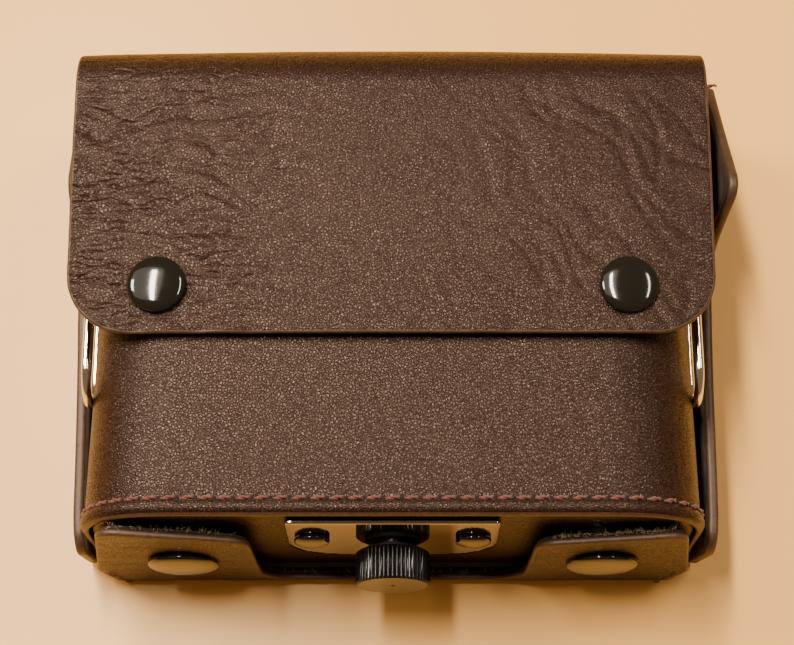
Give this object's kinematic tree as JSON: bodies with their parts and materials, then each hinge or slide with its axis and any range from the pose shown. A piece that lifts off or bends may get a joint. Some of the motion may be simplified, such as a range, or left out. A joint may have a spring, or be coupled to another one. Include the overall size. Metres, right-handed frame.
{
  "type": "camera case",
  "caption": "Closed leather ever-ready camera case with snap-down top flap, snapped bottom flap, strap rings and a captive tripod screw.",
  "frame": {"origin": "centre of the back panel's outer face, on which the closed case lies", "axes": "+X to the right across the case, +Y from the base towards the top fold, +Z out of the front panel"},
  "size_m": [0.163, 0.1293, 0.0592],
  "materials": {
    "shell_leather": "semi-gloss pebble grain leather",
    "suede_lining": "napped suede",
    "stiffener_board": "raw",
    "chrome_plate": "mirror polish",
    "black_enamel": "gloss enamel",
    "nickel_snap": "satin nickel",
    "snap_spring": "bright",
    "black_knob": "black oxide",
    "steel_stud": "satin",
    "fibre_washer": "matte",
    "ring_chrome": "mirror polish"
  },
  "bodies": {
    "case": {"back_panel": "shell_leather", "back_board": "stiffener_board", "back_lining": "suede_lining", "wing_right": "shell_leather", "wing_left": "shell_leather", "wing_lining_right": "suede_lining", "wing_lining_left": "suede_lining", "front_wall": "shell_leather", "front_lining": "suede_lining", "base_panel": "shell_leather", "base_lining": "suede_lining", "retaining_plate": "chrome_plate", "plate_rivet_right": "black_enamel", "plate_rivet_left": "black_enamel", "plate_rivet_washer_right": "nickel_snap", "plate_rivet_washer_left": "nickel_snap", "front_snap_stud_right": "nickel_snap", "front_snap_stud_left": "nickel_snap", "front_snap_eyelet_right": "nickel_snap", "front_snap_eyelet_left": "nickel_snap", "base_snap_stud_right": "nickel_snap", "base_snap_stud_left": "nickel_snap", "base_snap_eyelet_right": "nickel_snap", "base_snap_eyelet_left": "nickel_snap", "ring_chape_right": "shell_leather", "ring_chape_left": "shell_leather", "chape_rivet_right": "nickel_snap", "chape_rivet_left": "nickel_snap", "chape_washer_right": "nickel_snap", "chape_washer_left": "nickel_snap"},
    "top_strap": {"top_strap": "shell_leather", "top_strap_lining": "suede_lining"},
    "front_flap": {"front_flap": "shell_leather", "front_flap_lining": "suede_lining", "flap_snap_cap_left": "black_enamel", "flap_snap_cap_right": "black_enamel", "flap_snap_socket_left": "nickel_snap", "flap_snap_socket_right": "nickel_snap", "flap_snap_spring_left": "snap_spring", "flap_snap_spring_right": "snap_spring"},
    "bottom_flap": {"bottom_flap": "shell_leather", "bottom_flap_lining": "suede_lining", "bottom_snap_cap_left": "black_enamel", "bottom_snap_cap_right": "black_enamel", "bottom_snap_socket_left": "nickel_snap", "bottom_snap_socket_right": "nickel_snap", "bottom_snap_spring_left": "snap_spring", "bottom_snap_spring_right": "snap_spring"},
    "screw_collar": {"screw_washer": "fibre_washer"},
    "retaining_screw": {"retaining_knob": "black_knob", "retaining_stud": "steel_stud", "retaining_clip": "steel_stud"},
    "ring_left": {"strap_ring_left": "ring_chrome"},
    "ring_right": {"strap_ring_right": "ring_chrome"}
  },
  "joints": [
    {"name": "strap_fold", "type": "hinge", "parent": "case", "child": "top_strap", "pos_m": [0, 0.0613, 0], "axis": [1, 0, 0], "range_deg": [-85, 0]},
    {"name": "flap_fold", "type": "hinge", "parent": "top_strap", "child": "front_flap", "pos_m": [0, 0.0488, 0.0565], "axis": [1, 0, 0], "range_deg": [-100, 0]},
    {"name": "bottom_flap_fold", "type": "hinge", "parent": "case", "child": "bottom_flap", "pos_m": [0, -0.0613, 0], "axis": [1, 0, 0], "range_deg": [0, 90]},
    {"name": "screw_float", "type": "slide", "parent": "case", "child": "screw_collar", "axis": [0, 1, 0], "range_m": [-0.0014, 0.0007]},
    {"name": "knob_spin", "type": "hinge", "parent": "screw_collar", "child": "retaining_screw", "pos_m": [0, -0.0572, 0.0285], "axis": [0, 1, 0], "continuous": true},
    {"name": "ring_left_swing", "type": "hinge", "parent": "case", "child": "ring_left", "pos_m": [-0.07198, 0.0033, 0.0375], "axis": [0, 0, 1], "range_deg": [-90, 0]},
    {"name": "ring_right_swing", "type": "hinge", "parent": "case", "child": "ring_right", "pos_m": [0.07198, 0.0033, 0.0375], "axis": [0, 0, 1], "range_deg": [0, 90]}
  ]
}
